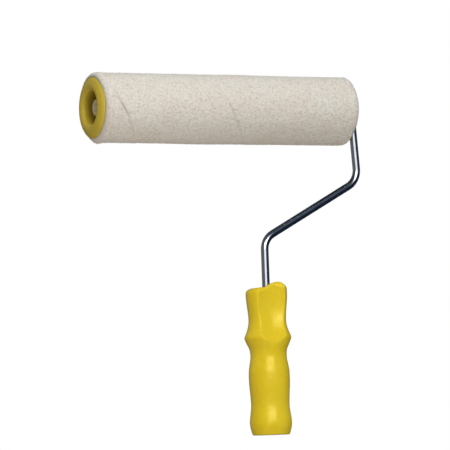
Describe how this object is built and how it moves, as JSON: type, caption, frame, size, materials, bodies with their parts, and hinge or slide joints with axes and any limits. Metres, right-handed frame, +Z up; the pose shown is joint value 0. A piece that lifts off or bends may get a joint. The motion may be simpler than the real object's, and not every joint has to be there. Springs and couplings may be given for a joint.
{
  "type": "paint roller",
  "caption": "Hand paint roller: a bent steel rod with a moulded handle and pole socket, and a spinning pile cover between end caps.",
  "frame": {"origin": "centre of the pole socket's mouth, at the handle's butt", "axes": "+Z up the handle and the rod's stem, +X along the axle towards the bent end of the rod; the rod lies in the XZ plane"},
  "size_m": [0.2457, 0.058, 0.2984],
  "materials": {
    "rod_steel": "bright plated steel rod",
    "nylon": "natural white nylon",
    "yellow_plastic": "moulded polypropylene, soft gloss",
    "socket_plastic": "glass-filled nylon",
    "core_plastic": "extruded plastic tube",
    "pile": "short dense off-white pile"
  },
  "bodies": {
    "frame": {"frame_rod": "rod_steel", "stop_collar": "nylon", "axle_retainer": "nylon", "handle": "yellow_plastic", "pole_socket": "socket_plastic"},
    "roller": {"core_tube": "core_plastic", "cover_pile": "pile", "outer_end_cap": "yellow_plastic", "inner_end_cap": "yellow_plastic", "outer_bush": "nylon", "inner_bush": "nylon"}
  },
  "joints": [
    {"name": "roller_spin", "type": "hinge", "parent": "frame", "child": "roller", "pos_m": [0, 0, 0.2694], "axis": [1, 0, 0], "continuous": true}
  ]
}
